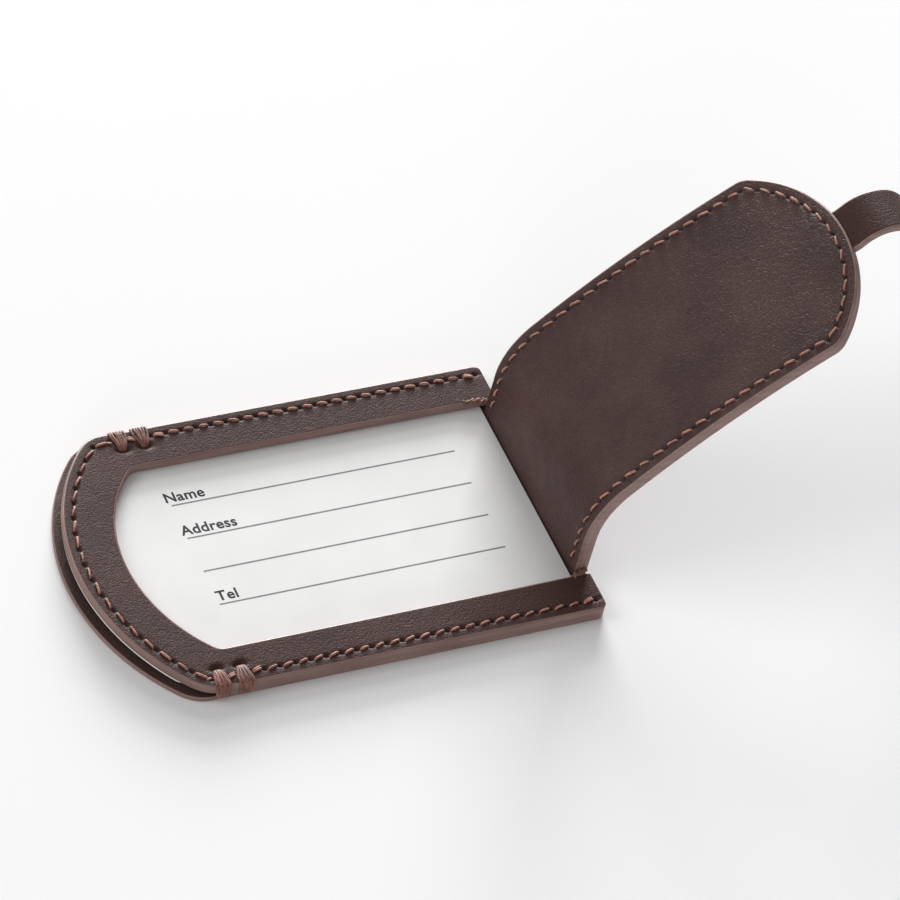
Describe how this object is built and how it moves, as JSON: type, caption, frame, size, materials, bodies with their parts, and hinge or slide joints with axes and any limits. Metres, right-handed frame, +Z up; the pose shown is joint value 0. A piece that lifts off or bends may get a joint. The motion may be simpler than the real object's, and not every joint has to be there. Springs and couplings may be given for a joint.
{
  "type": "luggage tag",
  "caption": "Leather luggage tag with a windowed sleeve for a name card, a sewn frame, a privacy flap that folds over the window, and a strap with a stud",
  "frame": {"origin": "middle of the sleeve's underside, on the surface that the tag lies on", "axes": "+X runs along the sleeve from its round mouth to the square end with the flap, +Y across it, +Z up through the window"},
  "size_m": [0.2659, 0.0646, 0.0684],
  "materials": {
    "leather": "dark brown pebbled leather, semi-matte, painted edges",
    "lining": "dark brown leather, matte, painted edges",
    "thread": "waxed thread, coppery tan",
    "card": "white card, matte",
    "stud": "polished brass"
  },
  "bodies": {
    "sleeve": {"back_panel_outer": "leather", "back_panel_lining": "lining", "near_rail_face": "leather", "far_rail_face": "leather", "near_rail_lining": "lining", "far_rail_lining": "lining", "near_rail_seam": "thread", "far_rail_seam": "thread", "near_bar_tack_1": "thread", "near_bar_tack_2": "thread", "far_bar_tack_1": "thread", "far_bar_tack_2": "thread", "near_foot_tack": "thread", "far_foot_tack": "thread"},
    "mouth_lip": {"lip_face": "leather", "lip_lining": "lining", "lip_seam": "thread"},
    "card": {"id_card": "card"},
    "flap_root": {"flap_foot_face": "leather", "flap_foot_back": "leather"},
    "flap": {"flap_face": "leather", "flap_back": "leather", "flap_seam": "thread", "strap": "leather", "strap_stud": "stud", "strap_stud_screw": "stud"}
  },
  "joints": [
    {"name": "flap_fold", "type": "hinge", "parent": "sleeve", "child": "flap_root", "pos_m": [0.0478, 0, 0.0034], "axis": [0, -1, 0], "range_deg": [0, 90]},
    {"name": "flap_bend", "type": "hinge", "parent": "flap_root", "child": "flap", "pos_m": [0.04774, 0, 0.01907], "axis": [0, -1, 0], "range_deg": [0, 42]},
    {"name": "lip_flex", "type": "hinge", "parent": "sleeve", "child": "mouth_lip", "pos_m": [-0.0292, 0, 0.0034], "axis": [0, 1, 0], "range_deg": [0, 14], "stiffness_Nm_per_rad": 0.03},
    {"name": "card_slide", "type": "slide", "parent": "sleeve", "child": "card", "axis": [-1, 0, 0], "range_m": [0, 0.09]}
  ],
  "couplings": [
    {"joint": "flap_bend", "follows": "flap_fold", "ratio": 0.466}
  ]
}
